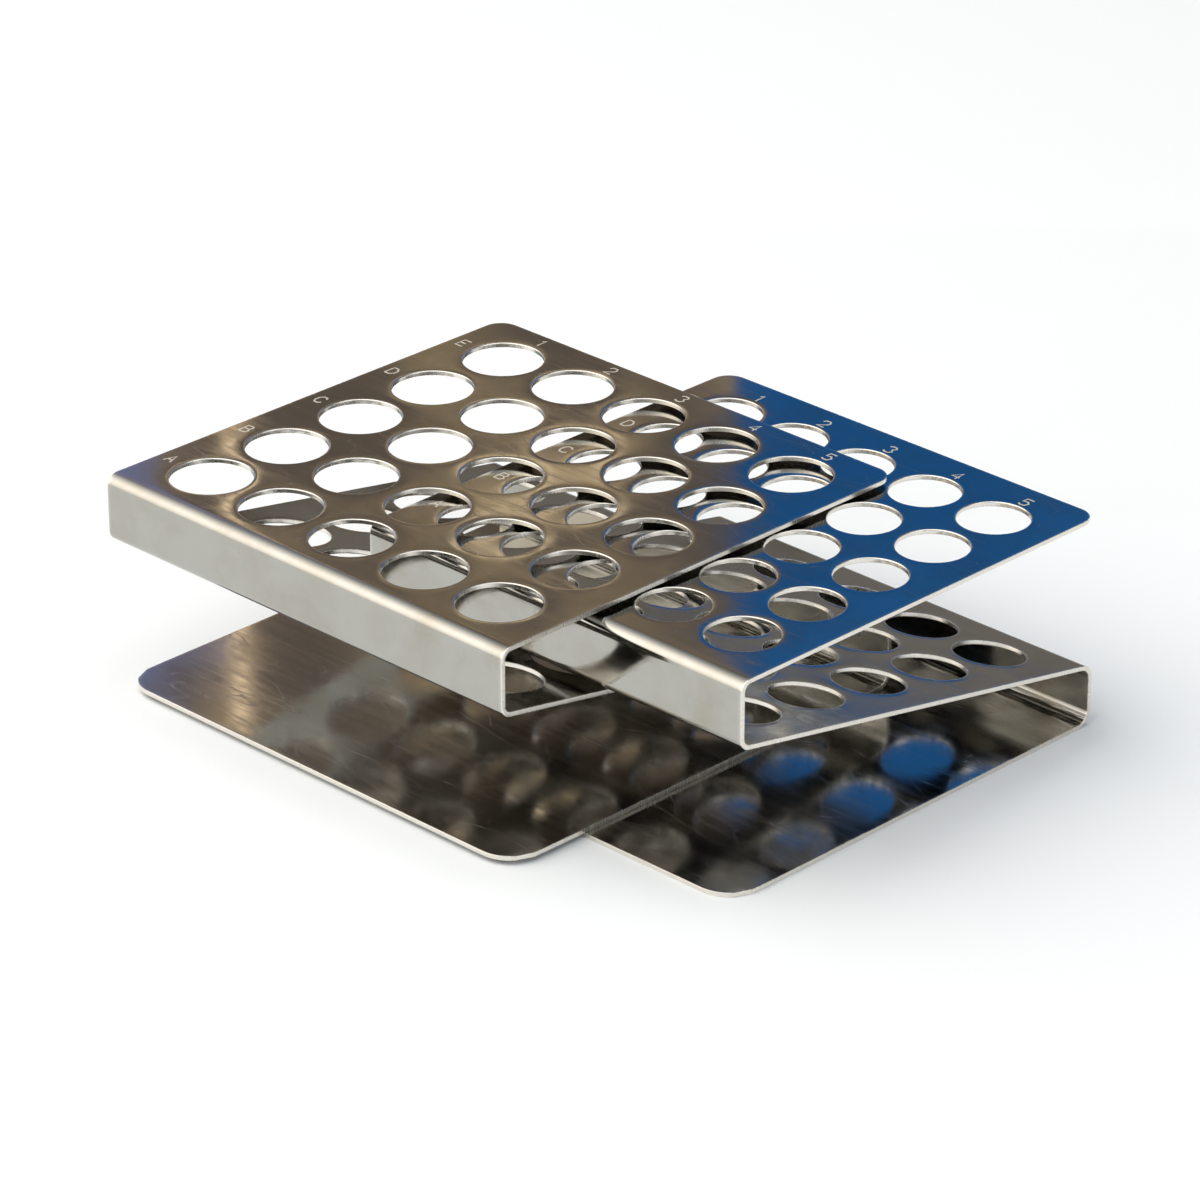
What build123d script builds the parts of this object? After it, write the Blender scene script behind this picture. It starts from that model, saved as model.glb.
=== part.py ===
from build123d import *
from math import atan, cos
import os

# A nested pair of half-size test tube racks, each one folded from a single steel sheet.
# Each sheet runs from the punched top tier down the front fold, back along the punched
# and sloping middle tier, down the rear fold, and forwards along the plain foot.
# Units are millimetres and +Z is up. +X runs along the folds, +Y from the front fold to
# the rear fold. The origin is on the underside of the small rack's foot, midway between
# its two ends and midway between its two folds.

# Sheet and bends, the same on both racks
sheet = 1.2
front_bend = 2.0  # inside radius of the bends of the front fold
rear_bend = 3.0  # inside radius of the bends of the rear fold
top_corner = 5.0  # rounding of the top tier's two free corners
foot_corner = 9.0  # rounding of the foot's two free corners
columns = 5
rows = 5

# Small rack, for 16 mm tubes
small_hole = 17.5
small_web = 3.7  # metal between two neighbouring holes
small_side_margin = 16.6  # end of the sheet to the centres of the first column
small_fold_margin = 18.0  # face of the front fold, or the free edge, to the nearest row
small_height = 54.4  # bench to the face of the top tier
small_front_fold = 17.0  # outside height of the front fold
small_rear_fold = 14.6  # bench to the underside of the middle tier at the rear fold
small_foot_reach = 2.8  # how far the foot stands out in front of the front fold

# Large rack, for 18 mm tubes
large_hole = 20.0
large_web = 4.0
large_side_margin = 17.8
large_fold_margin = 16.9
large_foot_reach = -2.3  # this foot stops short of the front fold

# How the large rack is hooked into the small one
top_gap = 1.1  # small top tier to the underside of the large top tier
front_gap = 1.5  # small front fold to the large middle tier below it
middle_gap = 0.4  # small middle tier to the large middle tier, at the large rear fold
rear_gap = 18.7  # large rear fold to the inside of the small rear fold
drawn_out = 52.1  # large rack's centre, along -X from the small rack's centre

# Small rack: its overall sizes follow its holes
small_pitch = small_hole + small_web
small_length = (columns - 1) * small_pitch + 2 * small_side_margin
small_depth = (rows - 1) * small_pitch + 2 * small_fold_margin
small_front = -small_depth / 2
small_slope = (small_height - small_front_fold - small_rear_fold) / small_depth

# Large rack: its foot lies on the small foot, its top tier over the small top tier
large_pitch = large_hole + large_web
large_length = (columns - 1) * large_pitch + 2 * large_side_margin
large_depth = (rows - 1) * large_pitch + 2 * large_fold_margin
large_back = small_front + small_depth - sheet - rear_gap
large_front = large_back - large_depth
large_foot = sheet
large_height = small_height + top_gap + sheet - large_foot

# Its middle tier passes under the small front fold and under the small middle tier
under_fold = small_height - small_front_fold - front_gap
under_middle = small_height - small_front_fold - middle_gap - small_slope * (large_back - small_front)
large_slope = (under_fold - under_middle) / (large_back - small_front)
large_sheet_drop = sheet / cos(atan(large_slope))
large_rear_fold = under_middle - large_sheet_drop - large_foot
large_front_fold = large_height - large_rear_fold - large_slope * large_depth


def folded_section(height, depth, front_fold, rear_fold, foot_reach):
    """The sheet's section, with the front fold at 0 and the foot's underside at 0."""
    inner_back = depth - sheet
    fold_drop = (height - front_fold - rear_fold) * inner_back / depth
    outline = [
        (depth, height),
        (0, height),
        (0, height - front_fold),
        (inner_back, height - front_fold - fold_drop),
        (inner_back, sheet),
        (-foot_reach, sheet),
    ]
    outer_front_bend = front_bend + sheet
    with BuildLine() as face:
        FilletPolyline(*outline, radius=[outer_front_bend, outer_front_bend, rear_bend, rear_bend])
    return make_face(offset(face.line, amount=sheet, side=Side.LEFT).edges())


def hole_centres(middle, front, pitch, fold_margin):
    """Hole centres of one rack, in X and Y."""
    first_column = middle - (columns - 1) * pitch / 2
    first_row = front + fold_margin
    return [
        (first_column + column * pitch, first_row + row * pitch)
        for column in range(columns)
        for row in range(rows)
    ]


def free_corners(body, low, high, free_edge):
    """The two upright edges of a tier between two heights, at its free edge."""
    return [
        edge
        for edge in body.edges().filter_by(Axis.Z)
        if abs(edge.length - sheet) < 0.01
        and low < edge.center().Z < high
        and abs(edge.center().Y - free_edge) < 0.01
    ]


def rack(section, middle, front, depth, length, foot, height, foot_reach, hole, pitch, fold_margin):
    """One folded rack, with its tube holes punched through the top and middle tiers."""
    left = middle - length / 2
    body = extrude(Plane.YZ.offset(left) * Pos(front, foot) * section, amount=length)
    punch_height = height - 2 * sheet
    punch_middle = foot + 2 * sheet + punch_height / 2
    for x, y in hole_centres(middle, front, pitch, fold_margin):
        body -= Pos(x, y, punch_middle) * Cylinder(hole / 2, punch_height)
    top_corners = free_corners(body, foot + height - sheet, foot + height, front + depth)
    body = fillet(top_corners, top_corner)
    foot_corners = free_corners(body, foot, foot + sheet, front - foot_reach)
    return fillet(foot_corners, foot_corner)


small_rack = rack(
    folded_section(small_height, small_depth, small_front_fold, small_rear_fold, small_foot_reach),
    0, small_front, small_depth, small_length, 0, small_height, small_foot_reach,
    small_hole, small_pitch, small_fold_margin,
)
large_rack = rack(
    folded_section(large_height, large_depth, large_front_fold, large_rear_fold, large_foot_reach),
    -drawn_out, large_front, large_depth, large_length, large_foot, large_height, large_foot_reach,
    large_hole, large_pitch, large_fold_margin,
)

os.makedirs("parts", exist_ok=True)
for name, shape in {"small_rack": small_rack, "large_rack": large_rack}.items():
    shape.label = name
    export_step(shape, f"parts/{name}.step")
    box = shape.bounding_box()
    print(name, "solids", len(shape.solids()), "volume", round(shape.volume, 1), box.min, box.max)
print("small", small_length, small_depth, "large", large_length, large_depth, large_front_fold, large_rear_fold)
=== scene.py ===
from bisect import bisect_right
from math import atan2, cos, exp, hypot, pi, radians, sin, sqrt, tan

import bpy
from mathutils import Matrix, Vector


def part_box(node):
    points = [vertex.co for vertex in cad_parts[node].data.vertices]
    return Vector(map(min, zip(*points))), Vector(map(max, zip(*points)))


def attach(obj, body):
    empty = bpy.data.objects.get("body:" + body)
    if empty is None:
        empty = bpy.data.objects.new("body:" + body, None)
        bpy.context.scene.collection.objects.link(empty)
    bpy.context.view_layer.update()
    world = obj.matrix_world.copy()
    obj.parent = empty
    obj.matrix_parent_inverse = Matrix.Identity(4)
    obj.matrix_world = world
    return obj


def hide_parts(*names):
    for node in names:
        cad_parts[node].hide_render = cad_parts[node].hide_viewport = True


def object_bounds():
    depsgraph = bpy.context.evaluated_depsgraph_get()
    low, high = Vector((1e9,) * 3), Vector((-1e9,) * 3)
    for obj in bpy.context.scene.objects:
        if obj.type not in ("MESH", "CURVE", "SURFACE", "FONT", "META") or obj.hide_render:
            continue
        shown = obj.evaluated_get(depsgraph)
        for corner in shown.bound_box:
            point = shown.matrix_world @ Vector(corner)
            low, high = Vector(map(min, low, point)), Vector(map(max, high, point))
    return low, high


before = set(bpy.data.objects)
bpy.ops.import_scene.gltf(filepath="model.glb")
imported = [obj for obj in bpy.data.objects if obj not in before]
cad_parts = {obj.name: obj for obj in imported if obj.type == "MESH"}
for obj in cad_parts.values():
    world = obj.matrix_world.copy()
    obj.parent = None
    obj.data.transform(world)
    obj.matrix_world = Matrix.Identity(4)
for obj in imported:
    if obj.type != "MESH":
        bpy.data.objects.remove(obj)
cadLow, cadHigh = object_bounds()
print("CAD frame loaded:", sorted(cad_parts))

# A nested pair of test tube racks, each folded from one punched stainless sheet.
mm = 0.001
columns, rows = 5, 5


def linearColour(hexCode):
    # the sRGB curve, and full alpha
    channels = [int(hexCode[i : i + 2], 16) / 255 for i in (1, 3, 5)]
    return [c / 12.92 if c <= 0.04045 else ((c + 0.055) / 1.055) ** 2.4 for c in channels] + [1.0]


def addNode(tree, kind, settings=None, **inputs):
    # settings are the node's own properties, inputs are values or links for its sockets
    node = tree.nodes.new(kind)
    for name, value in (settings or {}).items():
        setattr(node, name, value)
    for name, value in inputs.items():
        socket = node.inputs[int(name[1:])] if name[1:].isdigit() else node.inputs[name.replace("_", " ")]
        if isinstance(value, bpy.types.NodeSocket):
            tree.links.new(value, socket)
        else:
            socket.default_value = value
    return node


def newMaterial(name):
    material = bpy.data.materials.new(name)
    material.use_nodes = True
    material.node_tree.nodes.clear()
    return material, material.node_tree


# Stainless sheet as the mill delivers it: cold rolled, bright annealed, wiped over.
stainlessSheet = {
    "colour": "#ABAAA5",
    "tarnish": "#A39F95",  # warm tint where fingers and steam have been
    "wornColour": "#E6E1D8",  # burnished rims and cut edges
    "roughness": 0.07,
    "smudgeRoughness": 0.07,
    "grainRoughness": 0.05,
    "wipeRoughness": 0.06,
    "scratchRoughness": 0.12,
    "wornRoughness": 0.14,
    "grainWidth": 0.35 * mm,  # rolling lines, drawn about three times coarser than real ones
    "grainLength": 14.0 * mm,
    "grainHeight": 0.0008 * mm,
    "grainNoise": {"Detail": 3.0, "Roughness": 0.6},
    "smudgeSize": 19.0 * mm,
    "smudgeNoise": {"Detail": 4.0, "Roughness": 0.62, "Distortion": 0.4},
    "smudgeRange": {"From_Min": 0.44, "From_Max": 0.70},  # the part of the noise that shows as smudges
    "wipeWidth": 2.2 * mm,  # streaks of a cloth drawn over the sheet
    "wipeLength": 38.0 * mm,
    "wipeAngle": -38,  # degrees off the rolling lines
    "wipeNoise": {"Detail": 2.5, "Roughness": 0.55, "Distortion": 0.5},
    "wipeRange": {"From_Min": 0.45, "From_Max": 0.72},
    "scratchCell": 7.0 * mm,  # spacing of the hairline scratches
    "scratchLength": 35.0 * mm,
    "scratchAngle": 24,
    "scratchWidth": 0.010,  # share of the spacing
    "scratchBend": 0.35,  # how far the scratches wander off straight
    "scratchBendNoise": {"Scale": 0.7, "Detail": 2.0},
    "buckleSize": 46.0 * mm,  # slow waves left in thin sheet by the punch
    "buckleHeight": 0.05 * mm,
    "buckleNoise": {"Detail": 1.0, "Roughness": 0.4},
}


def rolledStainless():
    # Bright annealed stainless steel, rolled: a soft mirror that stretches along the rolling lines,
    # wiped and handled, so its gloss comes and goes in patches, with burnished punch rims and edges.
    s = stainlessSheet
    material, tree = newMaterial("rolledStainlessSteel")
    sheetPlace = addNode(tree, "ShaderNodeUVMap", {"uv_map": "sheet"}).outputs[0]  # metres on the flat sheet
    worn = addNode(tree, "ShaderNodeAttribute", {"attribute_name": "worn"}).outputs["Fac"]

    grainPlace = addNode(tree, "ShaderNodeMapping", Vector=sheetPlace,
                         Scale=(1 / s["grainLength"], 1 / s["grainWidth"], 1)).outputs[0]
    grain = addNode(tree, "ShaderNodeTexNoise", Vector=grainPlace, Scale=1.0, **s["grainNoise"]).outputs[0]
    buckle = addNode(tree, "ShaderNodeTexNoise", Vector=sheetPlace, Scale=1 / s["buckleSize"],
                     **s["buckleNoise"]).outputs[0]

    smudge = addNode(tree, "ShaderNodeTexNoise", Vector=sheetPlace, Scale=1 / s["smudgeSize"],
                     **s["smudgeNoise"]).outputs[0]
    smudge = addNode(tree, "ShaderNodeMapRange", Value=smudge, **s["smudgeRange"]).outputs[0]

    wipePlace = addNode(tree, "ShaderNodeMapping", Vector=sheetPlace,
                        Rotation=(0, 0, radians(s["wipeAngle"])),
                        Scale=(1 / s["wipeLength"], 1 / s["wipeWidth"], 1)).outputs[0]
    wipe = addNode(tree, "ShaderNodeTexNoise", Vector=wipePlace, Scale=1.0, **s["wipeNoise"]).outputs[0]
    wipe = addNode(tree, "ShaderNodeMapRange", Value=wipe, **s["wipeRange"]).outputs[0]

    scratchPlace = addNode(tree, "ShaderNodeMapping", Vector=sheetPlace,
                           Rotation=(0, 0, radians(s["scratchAngle"])),
                           Scale=(1 / s["scratchLength"], 1 / s["scratchCell"], 1)).outputs[0]
    wander = addNode(tree, "ShaderNodeTexNoise", Vector=scratchPlace, **s["scratchBendNoise"]).outputs[1]
    scratchPlace = addNode(tree, "ShaderNodeMixRGB", {"blend_type": "LINEAR_LIGHT"}, Fac=s["scratchBend"],
                           Color1=scratchPlace, Color2=wander).outputs[0]
    scratch = addNode(tree, "ShaderNodeTexVoronoi", {"feature": "DISTANCE_TO_EDGE"}, Vector=scratchPlace,
                      Scale=1.0).outputs[0]
    scratch = addNode(tree, "ShaderNodeMapRange", Value=scratch, From_Min=0.0, From_Max=s["scratchWidth"],
                      To_Min=1.0, To_Max=0.0).outputs[0]

    colour = addNode(tree, "ShaderNodeMixRGB", Fac=smudge, Color1=linearColour(s["colour"]),
                     Color2=linearColour(s["tarnish"])).outputs[0]
    colour = addNode(tree, "ShaderNodeMixRGB", Fac=worn, Color1=colour,
                     Color2=linearColour(s["wornColour"])).outputs[0]
    rough = s["roughness"]
    for mark, depth in ((smudge, "smudgeRoughness"), (grain, "grainRoughness"), (wipe, "wipeRoughness"),
                        (scratch, "scratchRoughness"), (worn, "wornRoughness")):
        rough = addNode(tree, "ShaderNodeMath", {"operation": "MULTIPLY_ADD"}, _0=mark, _1=s[depth],
                        _2=rough).outputs[0]

    waves = addNode(tree, "ShaderNodeBump", Strength=1.0, Distance=s["buckleHeight"],
                    Height=buckle).outputs[0]
    lines = addNode(tree, "ShaderNodeBump", Strength=1.0, Distance=s["grainHeight"], Height=grain,
                    Normal=waves).outputs[0]
    steel = addNode(tree, "ShaderNodeBsdfPrincipled", Base_Color=colour, Metallic=1.0, Roughness=rough,
                    Normal=lines)
    addNode(tree, "ShaderNodeOutputMaterial", Surface=steel.outputs[0])
    return material


etchedMark = {
    "colour": "#DAD3C6",
    "darkColour": "#A39A8B",
    "metallic": 0.35,  # the etched skin is largely oxide
    "roughness": 0.45,
    "frostRoughness": 0.15,
    "frost": 0.18 * mm,  # grain of the etched skin
    "frostNoise": {"Detail": 3.0, "Roughness": 0.7},
}


def etchedStainless():
    # Electro-etched stainless steel: a fine frosted skin that scatters light, so the marks read pale.
    s = etchedMark
    material, tree = newMaterial("etchedStainlessSteel")
    place = addNode(tree, "ShaderNodeTexCoord").outputs["Object"]
    frost = addNode(tree, "ShaderNodeTexNoise", Vector=place, Scale=1 / s["frost"],
                    **s["frostNoise"]).outputs[0]
    colour = addNode(tree, "ShaderNodeMixRGB", Fac=frost, Color1=linearColour(s["colour"]),
                     Color2=linearColour(s["darkColour"])).outputs[0]
    rough = addNode(tree, "ShaderNodeMath", {"operation": "MULTIPLY_ADD"}, _0=frost, _1=s["frostRoughness"],
                    _2=s["roughness"]).outputs[0]
    steel = addNode(tree, "ShaderNodeBsdfPrincipled", Base_Color=colour, Metallic=s["metallic"],
                    Roughness=rough)
    addNode(tree, "ShaderNodeOutputMaterial", Surface=steel.outputs[0])
    return material


# Folded sheets. Sizes are the punch and brake settings; places come from the CAD boxes.
sheetStock = {
    "gauge": 1.2 * mm,
    "frontBend": 2.0 * mm,  # inside radius
    "rearBend": 3.0 * mm,  # inside radius
    "topCorner": 5.0 * mm,  # rounding of the top tier's two free corners
    "footCorner": 9.0 * mm,  # rounding of the foot's two free corners
    "punchRoll": 0.32 * mm,  # rounding the punch leaves on its own side of a hole
    "deburr": 0.12 * mm,  # broken edge on the other side, and all round the sheet
    "punchDish": 0.07 * mm,  # how far a hole's rim is drawn down
    "dishWidth": 0.9 * mm,
    "wornWidth": 0.3 * mm,  # burnished band along rims and edges
    "markHeight": 0.03 * mm,  # the etched index marks stand this much proud
}
# How finely the mesh follows the sheet.
meshLines = {
    "edge": [0.0, 0.03 * mm, 0.07 * mm, 0.12 * mm, 0.4 * mm, 1.2 * mm],  # in from the sheet's edge
    "rim": [0.0, 0.03 * mm, 0.09 * mm, 0.18 * mm, 0.32 * mm, 0.6 * mm, 1.1 * mm],  # out from a hole's rim
    "cellSteps": 12,  # along one side of a hole's square cell
    "marginSteps": 3,
    "bendSteps": 9,
    "plainStep": 6.0 * mm,  # where there are no holes
    "leastPlainSteps": 2,
    "sameLine": 1e-6 * mm,  # lines nearer than this are one line
    "samePoint": 1e-5 * mm,
}
clearOfHoles = 1.0  # metres: farther from any hole than its rolled rim reaches
smallRack = {"node": "small_rack", "hole": 17.5 * mm, "web": 3.7 * mm, "sideMargin": 16.6 * mm,
             "foldMargin": 18.0 * mm, "frontFold": 17.0 * mm, "rearFold": 14.6 * mm, "footReach": 2.8 * mm,
             "slot": "stainless_small", "letterGap": 12.6 * mm, "digitGap": 11.6 * mm}
largeRack = {"node": "large_rack", "hole": 20.0 * mm, "web": 4.0 * mm, "sideMargin": 17.8 * mm,
             "foldMargin": 16.9 * mm, "footReach": -2.3 * mm, "slot": "stainless_large",
             "letterGap": 13.9 * mm, "digitGap": 13.3 * mm}
hooking = {
    "frontGap": 1.5 * mm,  # small front fold to the large middle tier below it
    "middleGap": 0.4 * mm,  # small middle tier to the large middle tier, at the large rear fold
}


def hookedFolds():
    # The large rack's middle tier passes under the small front fold and under the small middle tier,
    # which settles the heights of its own two folds.
    smallLow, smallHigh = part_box(smallRack["node"])
    largeLow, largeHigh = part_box(largeRack["node"])
    smallFront = smallLow.y + smallRack["footReach"]
    reach = largeHigh.y - smallFront
    foldFoot = smallHigh.z - smallRack["frontFold"]
    fall = (foldFoot - smallLow.z - smallRack["rearFold"]) / (smallHigh.y - smallFront)
    underFold = foldFoot - hooking["frontGap"]
    underMiddle = foldFoot - hooking["middleGap"] - fall * reach
    largeFall = (underFold - underMiddle) / reach
    rearFold = underMiddle - sheetStock["gauge"] * sqrt(1 + largeFall**2) - largeLow.z
    frontFold = largeHigh.z - largeLow.z - rearFold - largeFall * (largeHigh.y - largeLow.y)
    return frontFold, rearFold


largeRack["frontFold"], largeRack["rearFold"] = hookedFolds()
print("large rack folds:", round(largeRack["frontFold"] / mm, 3), round(largeRack["rearFold"] / mm, 3), "mm")


def foldPath(rack):
    # The middle surface of the sheet as runs and bends, from the free top edge round to the foot's edge.
    gauge = sheetStock["gauge"]
    low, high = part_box(rack["node"])
    front = low.y + max(rack["footReach"], 0)
    back, foot, top = high.y, low.z, high.z
    fall = (top - foot - rack["frontFold"] - rack["rearFold"]) / (back - front)
    slant = sqrt(1 + fall * fall)  # length along the sloping tier for each unit of depth

    def tierHeight(y):
        return top - rack["frontFold"] - fall * (y - front) + gauge / 2 * slant

    foldY, rearY = front + gauge / 2, back - gauge / 2
    corners = [(back, top - gauge / 2), (foldY, top - gauge / 2), (foldY, tierHeight(foldY)),
               (rearY, tierHeight(rearY)), (rearY, foot + gauge / 2),
               (front - rack["footReach"], foot + gauge / 2)]
    bends = [sheetStock["frontBend"]] * 2 + [sheetStock["rearBend"]] * 2

    pieces, begin, at = [], Vector(corners[0]), 0.0
    for i, bend in enumerate(bends):
        radius = bend + gauge / 2
        corner, after = Vector(corners[i + 1]), Vector(corners[i + 2])
        before = (corner - Vector(corners[i])).normalized()
        onward = (after - corner).normalized()
        turn = atan2(before.x * onward.y - before.y * onward.x, before.dot(onward))
        cut = radius * tan(abs(turn) / 2)
        bendStart = corner - before * cut
        run = (bendStart - begin).length
        pieces.append({"at": at, "start": begin, "heading": before, "turn": 0.0, "radius": 0.0})
        at += run
        pieces.append({"at": at, "start": bendStart, "heading": before, "turn": turn, "radius": radius})
        at += radius * abs(turn)
        begin = corner + onward * cut
    last = Vector(corners[-1]) - begin
    pieces.append({"at": at, "start": begin, "heading": last.normalized(), "turn": 0.0, "radius": 0.0})
    middleTier = pieces[4]  # past the front fold's two bends
    return {"pieces": pieces, "starts": [piece["at"] for piece in pieces], "length": at + last.length,
            "middleTier": middleTier, "slant": slant, "left": low.x, "width": high.x - low.x,
            "front": front, "back": back}


def folded(path, u, v, w):
    # Place on the folded sheet of flat point u, v at height w off the middle surface.
    piece = path["pieces"][max(0, bisect_right(path["starts"], v) - 1)]
    along, heading = v - piece["at"], piece["heading"]
    if piece["turn"]:
        side = 1 if piece["turn"] > 0 else -1
        centre = piece["start"] + Vector((-heading.y, heading.x)) * side * piece["radius"]
        angle = side * along / piece["radius"]
        heading = Vector((heading.x * cos(angle) - heading.y * sin(angle),
                          heading.x * sin(angle) + heading.y * cos(angle)))
        middle = centre - Vector((-heading.y, heading.x)) * side * piece["radius"]
    else:
        middle = piece["start"] + heading * along
    spot = middle + Vector((heading.y, -heading.x)) * w
    return (path["left"] + u, spot.x, spot.y)


def spread(start, end, steps):
    return [start + (end - start) * i / steps for i in range(steps + 1)]


def edgeLines(length):
    # Mesh lines that follow the broken edge at both ends of a side.
    steps = meshLines["edge"]
    return list(steps), [length - step for step in reversed(steps)]


def acrossLines(rack, width):
    # Mesh lines across the sheet's width, and which of them is the first of the holes' cells.
    pitch = rack["hole"] + rack["web"]
    cellsStart = rack["sideMargin"] - pitch / 2
    cellsEnd = cellsStart + columns * pitch
    leftLines, rightLines = edgeLines(width)
    lines = leftLines + spread(leftLines[-1], cellsStart, meshLines["marginSteps"])[1:]
    firstCell = len(lines) - 1
    lines += spread(cellsStart, cellsEnd, columns * meshLines["cellSteps"])[1:]
    lines += spread(cellsEnd, rightLines[0], meshLines["marginSteps"])[1:-1] + rightLines
    return lines, firstCell


def carryLines(lines, target, path):
    # Carries the mesh lines on to the target, with a line at the start and the end of every bend.
    sameLine = meshLines["sameLine"]
    while lines[-1] < target - sameLine:
        last = lines[-1]
        stop = min([target] + [start for start in path["starts"] if start > last + sameLine])
        atBend = any(piece["turn"] and abs(piece["at"] - last) < sameLine for piece in path["pieces"])
        plainSteps = max(meshLines["leastPlainSteps"], int((stop - last) / meshLines["plainStep"]) + 1)
        lines += spread(last, stop, meshLines["bendSteps"] if atBend else plainSteps)[1:]


def alongLines(rack, path):
    # Mesh lines down the sheet's length, and the first line and row pitch of each punched tier's cells.
    pitch = rack["hole"] + rack["web"]
    tier, slant = path["middleTier"], path["slant"]
    backRow = path["back"] - path["front"] - rack["foldMargin"] - (rows - 1) * pitch
    frontRowY = path["front"] + rack["foldMargin"]
    topStart = backRow - pitch / 2
    tierStart = tier["at"] + (frontRowY - pitch / 2 - tier["start"].x) * slant
    nearLines, farLines = edgeLines(path["length"])
    lines = nearLines + spread(nearLines[-1], topStart, meshLines["marginSteps"])[1:]
    bands = []
    for bandStart, rowPitch in ((topStart, pitch), (tierStart, pitch * slant)):
        carryLines(lines, bandStart, path)
        bands.append((len(lines) - 1, rowPitch))
        lines += spread(lines[-1], lines[-1] + rows * rowPitch, rows * meshLines["cellSteps"])[1:]
    carryLines(lines, farLines[0], path)
    return lines + farLines[1:], bands


def flatPattern(rack, path):
    # The unfolded sheet as quads: square cells with a round hole, and plain margins between them.
    # A point is its place on the flat sheet and its distance from the nearest hole's rim.
    pitch, radius = rack["hole"] + rack["web"], rack["hole"] / 2
    steps = meshLines["cellSteps"]
    around = 4 * steps
    uLines, firstCell = acrossLines(rack, path["width"])
    vLines, bands = alongLines(rack, path)
    points, faces, known = [], [], {}

    def point(u, v, rim=clearOfHoles):
        spot = (round(u / meshLines["samePoint"]), round(v / meshLines["samePoint"]))
        if spot not in known:
            known[spot] = len(points)
            points.append([u, v, rim])
        return known[spot]

    for j in range(len(vLines) - 1):
        punched = any(start <= j < start + rows * steps for start, _ in bands)
        for i in range(len(uLines) - 1):
            if not (punched and firstCell <= i < firstCell + columns * steps):
                corners = ((i, j), (i + 1, j), (i + 1, j + 1), (i, j + 1))
                faces.append([point(uLines[m], vLines[n]) for m, n in corners])

    cells = [(firstCell + column * steps, bandStart + row * steps, rowPitch)
             for bandStart, rowPitch in bands for column in range(columns) for row in range(rows)]
    for i, j, rowPitch in cells:
        centreU, centreV = uLines[i] + pitch / 2, vLines[j] + rowPitch / 2
        angles = [(k / steps / 2 - 0.75) * pi for k in range(around)]  # from the square's first corner
        rings = []
        for rim in meshLines["rim"]:
            reachU, reachV = radius + rim, (radius + rim) * rowPitch / pitch
            rings.append([point(centreU + reachU * cos(angle), centreV + reachV * sin(angle), rim)
                          for angle in angles])
        square = [(i + k, j) for k in range(steps)] + [(i + steps, j + k) for k in range(steps)]
        square += [(i + steps - k, j + steps) for k in range(steps)]
        square += [(i, j + steps - k) for k in range(steps)]
        outer = [point(uLines[m], vLines[n]) for m, n in square]
        halfway = [point((points[p][0] + points[q][0]) / 2, (points[p][1] + points[q][1]) / 2)
                   for p, q in zip(rings[-1], outer)]
        rings += [halfway, outer]
        for inner, wider in zip(rings, rings[1:]):
            for k in range(around):
                n = (k + 1) % around
                faces.append([inner[k], wider[k], wider[n], inner[n]])
    return points, faces


def roundCorner(u, v, width, length):
    # Draws the square corners of the flat pattern in to the rounded ones. Returns the place and
    # its distance from the sheet's edge.
    corner = sheetStock["topCorner"] if v < length / 2 else sheetStock["footCorner"]
    fromU, fromV = min(u, width - u), min(v, length - v)
    if fromU >= corner or fromV >= corner:
        return u, v, max(min(fromU, fromV), 0.0)
    squareX, squareY = (corner - fromU) / corner, (corner - fromV) / corner
    roundX, roundY = squareX * sqrt(1 - squareY**2 / 2), squareY * sqrt(1 - squareX**2 / 2)
    fromU, fromV = corner - roundX * corner, corner - roundY * corner
    u = fromU if u < width / 2 else width - fromU
    v = fromV if v < length / 2 else length - fromV
    return u, v, max(corner - corner * hypot(roundX, roundY), 0.0)


def rollDepth(distance, radius):
    # How far an edge rounded at this radius has dropped, at a distance in from its rim.
    return radius - sqrt(radius**2 - (radius - distance) ** 2) if distance < radius else 0.0


def foldedSheet(rack, material):
    path = foldPath(rack)
    points, faces = flatPattern(rack, path)
    half = sheetStock["gauge"] / 2
    upper, lower, flat, worn = [], [], [], []
    for squareU, squareV, rim in points:
        u, v, edge = roundCorner(squareU, squareV, path["width"], path["length"])
        dish = sheetStock["punchDish"] * exp(-((rim / sheetStock["dishWidth"]) ** 2))
        roll = rollDepth(rim, sheetStock["punchRoll"]) + rollDepth(edge, sheetStock["deburr"])
        burr = rollDepth(min(rim, edge), sheetStock["deburr"])
        upper.append(folded(path, u, v, half - sheetStock["markHeight"] - roll - dish))
        lower.append(folded(path, u, v, -half + burr - dish))
        flat.append((u, v))
        worn.append(exp(-((min(rim, edge) / sheetStock["wornWidth"]) ** 2)))

    # The upper side, the lower side, and walls between them along every open side of a face.
    count = len(points)
    quads = [[p, s, r, q] for p, q, r, s in faces]
    quads += [[corner + count for corner in face] for face in faces]
    sides = [side for face in faces for side in zip(face, face[1:] + face[:1])]
    shared = set(sides)
    quads += [[p, q, q + count, p + count] for p, q in sides if (q, p) not in shared]

    mesh = bpy.data.meshes.new(rack["node"] + "_sheet")
    mesh.from_pydata(upper + lower, [], quads)
    mesh.validate()
    mesh.shade_smooth()
    uv = mesh.uv_layers.new(name="sheet")
    for loop in mesh.loops:
        uv.data[loop.index].uv = flat[loop.vertex_index % count]
    wornLayer = mesh.attributes.new("worn", "FLOAT", "POINT")
    wornLayer.data.foreach_set("value", worn + worn)
    mesh.materials.append(material)
    sheet = bpy.data.objects.new(rack["node"] + "_sheet", mesh)
    bpy.context.collection.objects.link(sheet)
    weighted = sheet.modifiers.new("flatFaces", "WEIGHTED_NORMAL")
    weighted.mode = "FACE_AREA"
    weighted.weight = 100
    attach(sheet, rack["node"])
    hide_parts(rack["node"])
    flatSize = [round(side / mm, 1) for side in (path["width"], path["length"])]
    print(rack["node"], "sheet:", len(quads), "faces, flat size", flatSize, "mm")


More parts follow.
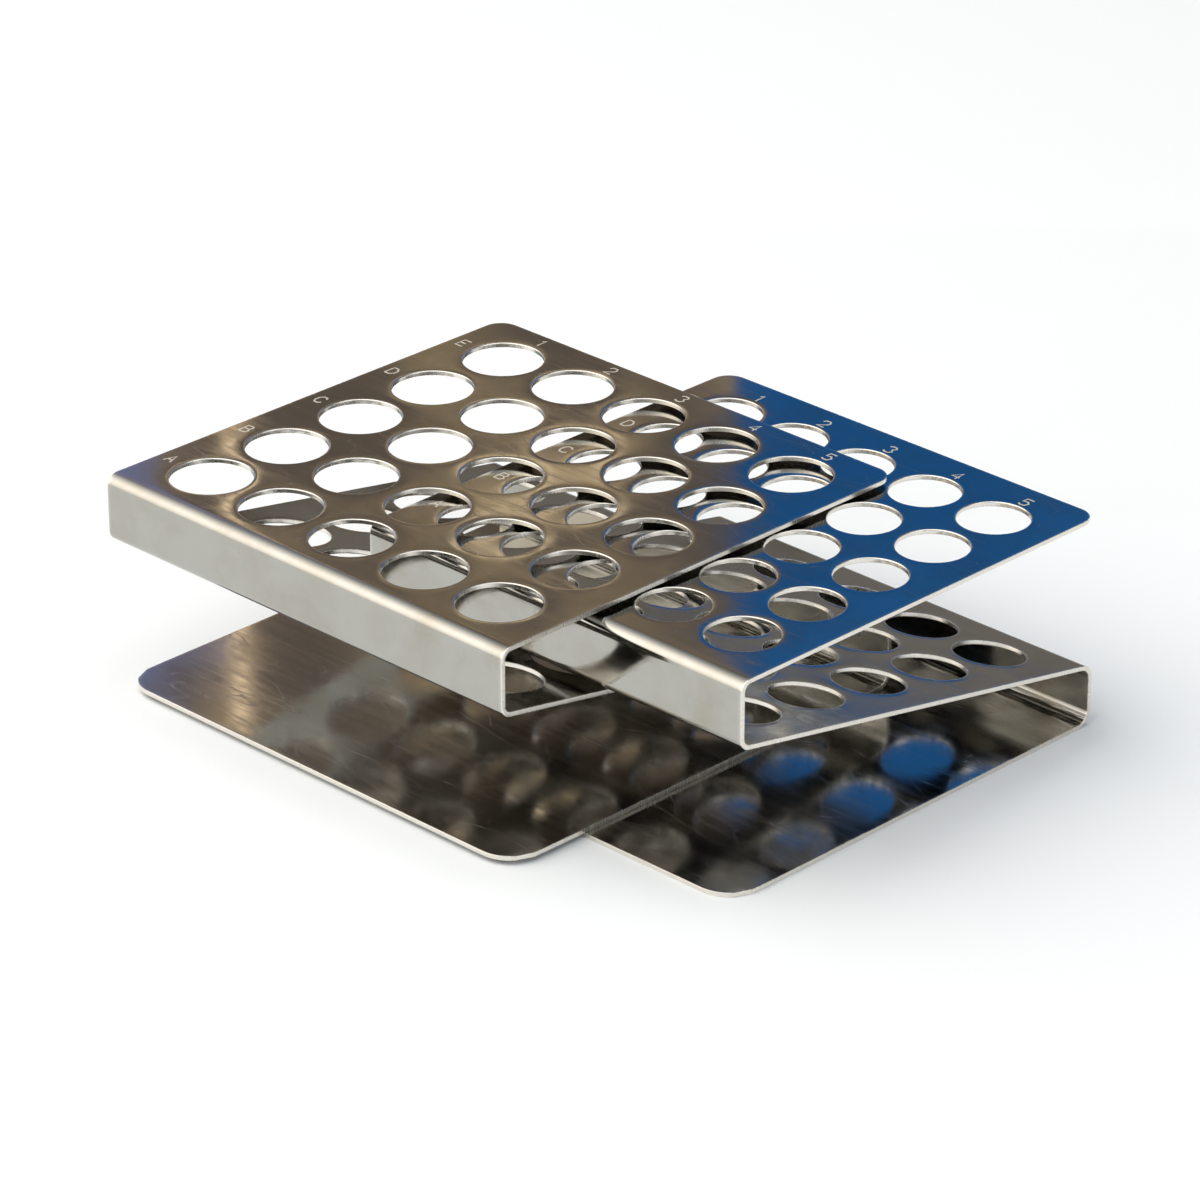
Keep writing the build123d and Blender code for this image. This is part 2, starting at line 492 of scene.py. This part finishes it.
# Index marks: a letter at the left of each row and a number behind each column. The strokes are
# corner points, in shares of a mark's width and height.
indexMarks = {
    "height": 3.4 * mm,
    "width": 2.3 * mm,
    "stroke": 0.27 * mm,  # half width of a stroke
    "A": [[(0, 0), (0.5, 1), (1, 0)], [(0.2, 0.36), (0.8, 0.36)]],
    "B": [[(0, 0), (0, 1), (0.72, 1), (0.92, 0.78), (0.72, 0.54), (0, 0.54)],
          [(0.72, 0.54), (1, 0.27), (0.76, 0), (0, 0)]],
    "C": [[(1, 0.8), (0.72, 1), (0.28, 1), (0, 0.72), (0, 0.28), (0.28, 0), (0.72, 0), (1, 0.2)]],
    "D": [[(0, 0), (0, 1), (0.6, 1), (1, 0.68), (1, 0.32), (0.6, 0), (0, 0)]],
    "E": [[(1, 0), (0, 0), (0, 1), (1, 1)], [(0, 0.52), (0.8, 0.52)]],
    "1": [[(0.2, 0.78), (0.55, 1), (0.55, 0)]],
    "2": [[(0, 0.76), (0.25, 1), (0.75, 1), (1, 0.74), (0.9, 0.5), (0, 0), (1, 0)]],
    "3": [[(0, 0.86), (0.3, 1), (0.75, 1), (1, 0.76), (0.7, 0.54), (1, 0.28), (0.75, 0), (0.3, 0),
           (0, 0.14)]],
    "4": [[(0.75, 0), (0.75, 1), (0, 0.3), (1, 0.3)]],
    "5": [[(0.95, 1), (0.1, 1), (0.05, 0.56), (0.65, 0.62), (1, 0.34), (0.75, 0), (0.25, 0), (0, 0.12)]],
}


def strokeMesh(mark):
    # One mark as round wires, centred, with its strokes still at their full thickness.
    curve = bpy.data.curves.new("strokes", "CURVE")
    curve.dimensions = "3D"
    curve.bevel_depth = indexMarks["stroke"]
    curve.bevel_resolution = 3
    curve.use_fill_caps = True
    for line in indexMarks[mark]:
        stroke = curve.splines.new("POLY")
        stroke.points.add(len(line) - 1)
        for corner, (across, along) in zip(stroke.points, line):
            corner.co = ((across - 0.5) * indexMarks["width"], (along - 0.5) * indexMarks["height"], 0, 1)
    carrier = bpy.data.objects.new("strokes", curve)
    mesh = bpy.data.meshes.new_from_object(carrier)
    bpy.data.objects.remove(carrier)
    return mesh


def etchedIndex(rack, material):
    low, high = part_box(rack["node"])
    pitch = rack["hole"] + rack["web"]
    columnX, rowY = low.x + rack["sideMargin"], low.y + max(rack["footReach"], 0) + rack["foldMargin"]
    lastRow = rowY + (rows - 1) * pitch
    spots = [("ABCDE"[row], columnX - rack["letterGap"], rowY + row * pitch) for row in range(rows)]
    spots += [("12345"[column], columnX + column * pitch, lastRow + rack["digitGap"])
              for column in range(columns)]
    flatten = sheetStock["markHeight"] / indexMarks["stroke"]
    for mark, x, y in spots:
        mesh = strokeMesh(mark)
        for vertex in mesh.vertices:
            place = vertex.co
            vertex.co = (x + place.x, y + place.y, high.z - sheetStock["markHeight"] + place.z * flatten)
        mesh.materials.clear()
        mesh.materials.append(material)
        mesh.shade_smooth()
        etching = bpy.data.objects.new(rack["node"] + "_mark_" + mark, mesh)
        bpy.context.collection.objects.link(etching)
        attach(etching, rack["node"])
    print(rack["node"], "index marks:", len(spots))


rolled = rolledStainless()
etched = etchedStainless()
print("materials:", rolled.name, etched.name)
for rack in (smallRack, largeRack):
    foldedSheet(rack, rolled)
    etchedIndex(rack, etched)

# Studio: pale floor, soft lights, and cards out of the camera's sight for the steel to mirror.
# Sizes and distances are in metres, and directions are from the racks.
middle = (cadLow + cadHigh) / 2
studio = {
    "floorSize": 6.0,
    "floorColour": "#E3E6E8",
    "floorRoughness": 0.7,
    "floorDrop": 0.02 * mm,  # keeps the floor clear of the sheet that stands on it
    "camera": (819.6 * mm, -878.3 * mm, 618.3 * mm),
    "lens": 172.0,
    "roomColour": "#A8ACB0",
    "roomStrength": 0.45,
    "glowColour": "#FFF8EE",  # a broad soft light low on the left, which the bends mirror
    "glowStrength": 2.1,
    "glowTowards": (-0.60, -0.60, 0.47),
    "frontGlowStrength": 1.1,  # a weaker one on the near side, for the racks' backs and insides
    "frontGlowTowards": (0.40, -0.78, 0.48),
    "glowFalloff": 2.7,  # power of the cosine of the angle to a glow's middle
    "cardsAway": 0.30,  # how far behind the racks the cards stand
    "tanCardsForward": 0.004,
    "clothHeight": 1.0 * mm,
    "blotchNoise": {"Detail": 1.5, "Roughness": 0.5, "Distortion": 0.6},
    "blotchRange": {"From_Min": 0.51, "From_Max": 0.63},
}

# Away from the camera, and level across its view.
cameraPlace = Vector(studio["camera"])
away = Vector((middle.x - cameraPlace.x, middle.y - cameraPlace.y, 0)).normalized()
across = Vector((away.y, -away.x, 0))


def staged(awayBy, acrossBy, height):
    # Place in the studio at a height above the middle of the racks.
    return middle + away * awayBy + across * acrossBy + Vector((0, 0, height))


def flatBoard(name, corners, material):
    mesh = bpy.data.meshes.new(name)
    mesh.from_pydata(corners, [], [(0, 1, 2, 3)])
    mesh.materials.append(material)
    board = bpy.data.objects.new(name, mesh)
    bpy.context.collection.objects.link(board)
    return board


def paintedBoard():
    # Matt painted board: an even pale ground that holds the racks' soft shadows.
    material, tree = newMaterial("mattPaintedBoard")
    board = addNode(tree, "ShaderNodeBsdfPrincipled", Base_Color=linearColour(studio["floorColour"]),
                    Roughness=studio["floorRoughness"])
    addNode(tree, "ShaderNodeOutputMaterial", Surface=board.outputs[0])
    return material


def litCard(name, hexCode, blotchHex, blotchSize, strength):
    # Card that glows softly, with cloudy blotches of a second colour.
    material, tree = newMaterial(name)
    place = addNode(tree, "ShaderNodeTexCoord").outputs["Object"]
    blotch = addNode(tree, "ShaderNodeTexNoise", Vector=place, Scale=1 / blotchSize,
                     **studio["blotchNoise"]).outputs[0]
    blotch = addNode(tree, "ShaderNodeMapRange", Value=blotch, **studio["blotchRange"]).outputs[0]
    colour = addNode(tree, "ShaderNodeMixRGB", Fac=blotch, Color1=linearColour(hexCode),
                     Color2=linearColour(blotchHex)).outputs[0]
    glow = addNode(tree, "ShaderNodeEmission", Color=colour, Strength=strength)
    addNode(tree, "ShaderNodeOutputMaterial", Surface=glow.outputs[0])
    return material


def mirrorCard(name, corners, paint):
    # Only the steel sees a card: the camera looks through it and it throws no light or shadow.
    card = flatBoard(name, corners, litCard(name, *paint))
    card.visible_camera = card.visible_diffuse = card.visible_shadow = False


def softbox(name, size, place, power, hexCode):
    light = bpy.data.lights.new(name, "AREA")
    light.shape, light.size = "SQUARE", size
    light.energy, light.color = power, linearColour(hexCode)[:3]
    lamp = bpy.data.objects.new(name, light)
    bpy.context.collection.objects.link(lamp)
    lamp.location = place
    lamp.rotation_euler = (middle - place).to_track_quat("-Z", "Y").to_euler()
    lamp.visible_camera = False
    return lamp


edge = studio["floorSize"] / 2
floor = flatBoard("studio_floor", [(-edge, -edge, 0), (edge, -edge, 0), (edge, edge, 0), (-edge, edge, 0)],
                  paintedBoard())
floor.location.z = cadLow.z - studio["floorDrop"]

# Upright cards: edges on the left, right, bottom and top, then colour, blotch colour, blotch size, strength.
uprightCards = {
    "violet_card": (-0.34, -0.129, 0.098, 0.361, "#8D93BD", "#A3A0B8", 0.10, 1.1),
    "low_violet_card": (-0.129, -0.1085, 0.098, 0.142, "#8D93BD", "#A3A0B8", 0.10, 1.1),
    "left_brown_card": (-0.129, -0.1085, 0.142, 0.361, "#736860", "#B8A283", 0.04, 1.1),
    "sand_card": (-0.1085, -0.1040, 0.098, 0.361, "#FFE3BE", "#EFD2AC", 0.10, 2.2),
    "brown_card": (-0.1040, 0.039, 0.098, 0.361, "#736860", "#AE9A7E", 0.042, 1.1),
    "blue_card": (0.039, 0.45, 0.098, 0.361, "#2766A9", "#3070B4", 0.10, 1.1),
    "grey_card": (-0.34, 0.45, 0.034, 0.098, "#857F78", "#575047", 0.05, 1.1),
}
# Two small tan cards stand just in front of the others.
tanCards = {
    "tan_card": (-0.040, -0.016, 0.192, 0.210, "#C4B090", "#A38F72", 0.02, 2.5),
    "low_tan_card": (-0.021, 0.006, 0.179, 0.199, "#C4B090", "#A38F72", 0.02, 2.5),
}
for cards, forward in ((uprightCards, 0.0), (tanCards, studio["tanCardsForward"])):
    for name, (left, right, bottom, top, *paint) in cards.items():
        sides = ((left, bottom), (right, bottom), (right, top), (left, top))
        cardAway = studio["cardsAway"] - forward
        mirrorCard(name, [staged(cardAway, side, height - middle.z) for side, height in sides], paint)
# Cloths on the floor behind the racks, which the undersides of the tiers mirror: edges on the left and
# right, near and far edge, then the same four as a card.
floorCloths = {
    "teal_cloth": (-0.34, -0.075, 0.105, 0.30, "#7E918F", "#8E8E84", 0.06, 1.0),
    "brown_cloth": (-0.075, 0.45, 0.105, 0.30, "#5E554B", "#7A6E60", 0.06, 1.0),
}
clothRise = studio["clothHeight"] - middle.z
for name, (left, right, near, far, *paint) in floorCloths.items():
    sides = ((near, left), (near, right), (far, right), (far, left))
    mirrorCard(name, [staged(awayBy, side, clothRise) for awayBy, side in sides], paint)
print("studio cards and cloths:", len(uprightCards) + len(tanCards) + len(floorCloths))

keyPlace = middle + Vector((-0.76, -0.38, 0.85))
key = softbox("key_softbox", size=1.3, place=keyPlace, power=8.0, hexCode="#FFFCF4")
key.visible_glossy = False  # the steel mirrors the room's glow instead, which has no hard edge
softbox("top_softbox", size=1.4, place=staged(-0.1, 0.0, 1.7), power=11.0, hexCode="#FFFFFF")
softbox("fill_softbox", size=1.0, place=staged(-0.9, 1.1, 0.7), power=5.0, hexCode="#F6F8FF")
print("softboxes: key, top and fill")

world = bpy.data.worlds.new("studioWorld")
world.use_nodes = True
room = world.node_tree
room.nodes.clear()


def softGlow(towards):
    # 1 in the middle of the glow, fading to 0 at right angles to it.
    direction = addNode(room, "ShaderNodeTexCoord").outputs["Generated"]
    facing = addNode(room, "ShaderNodeVectorMath", {"operation": "DOT_PRODUCT"}, _0=direction,
                     _1=Vector(towards).normalized()).outputs["Value"]
    facing = addNode(room, "ShaderNodeMath", {"operation": "MAXIMUM"}, _0=facing, _1=0.0).outputs[0]
    lobe = addNode(room, "ShaderNodeMath", {"operation": "POWER"}, _0=facing, _1=studio["glowFalloff"])
    return lobe.outputs[0]


glow = softGlow(studio["glowTowards"])
frontGlow = softGlow(studio["frontGlowTowards"])
roomColour = addNode(room, "ShaderNodeMixRGB", Fac=glow, Color1=linearColour(studio["roomColour"]),
                     Color2=linearColour(studio["glowColour"])).outputs[0]
roomStrength = studio["roomStrength"]
for lobe, strength in ((glow, studio["glowStrength"]), (frontGlow, studio["frontGlowStrength"])):
    roomStrength = addNode(room, "ShaderNodeMath", {"operation": "MULTIPLY_ADD"}, _0=lobe, _1=strength,
                           _2=roomStrength).outputs[0]
sky = addNode(room, "ShaderNodeBackground", Color=roomColour, Strength=roomStrength)
addNode(room, "ShaderNodeOutputWorld", Surface=sky.outputs[0])
bpy.context.scene.world = world
bpy.context.scene.view_settings.view_transform = "Standard"

cameraData = bpy.data.cameras.new("studioCamera")
cameraData.lens = studio["lens"]
camera = bpy.data.objects.new("studioCamera", cameraData)
bpy.context.collection.objects.link(camera)
camera.location = cameraPlace
camera.rotation_euler = (middle - cameraPlace).to_track_quat("-Z", "Y").to_euler()
bpy.context.scene.camera = camera
print("camera:", studio["lens"], "mm lens,", round((middle - cameraPlace).length, 3), "m away")
